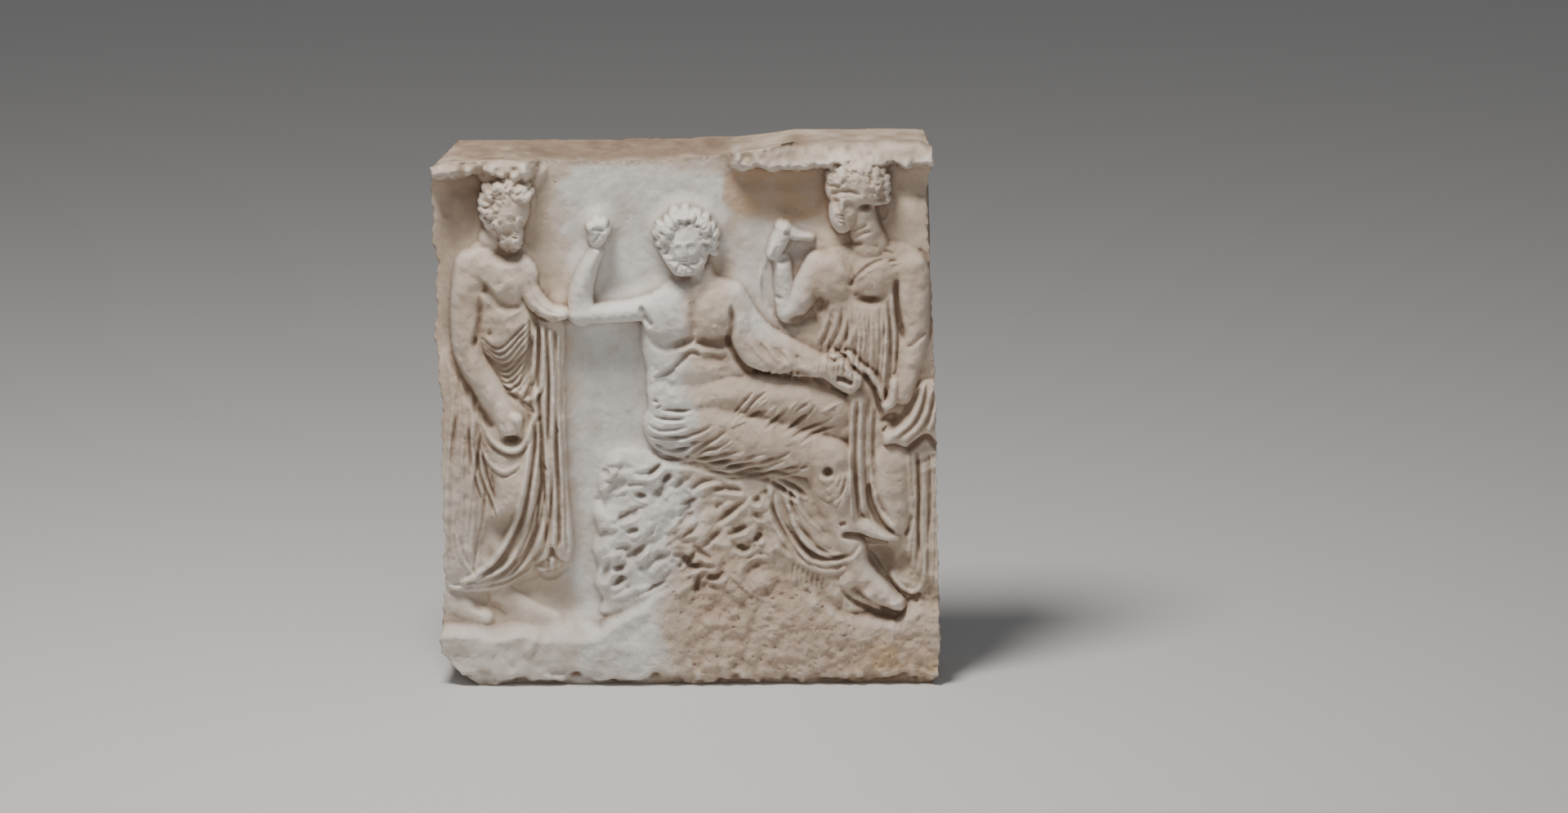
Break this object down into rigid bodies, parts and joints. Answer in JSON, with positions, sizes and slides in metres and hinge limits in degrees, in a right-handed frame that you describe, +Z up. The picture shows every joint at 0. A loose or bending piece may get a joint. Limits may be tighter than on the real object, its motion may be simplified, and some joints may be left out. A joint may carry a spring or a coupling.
{
  "type": "votive relief",
  "caption": "Carved marble votive slab with a standing man, a seated bearded god on a rock and a goddess lifting her veil, between a ledge and a broken cornice.",
  "frame": {"origin": "middle of the flat underside, halfway through the slab's depth", "axes": "+X to the viewer's right, +Y into the slab towards its back, +Z up; the carved figures face -Y"},
  "size_m": [0.627, 0.124, 0.684],
  "materials": {
    "marble": "weathered, matt to faintly waxy"
  },
  "bodies": {
    "root": {"relief_slab": "marble"}
  },
  "joints": []
}
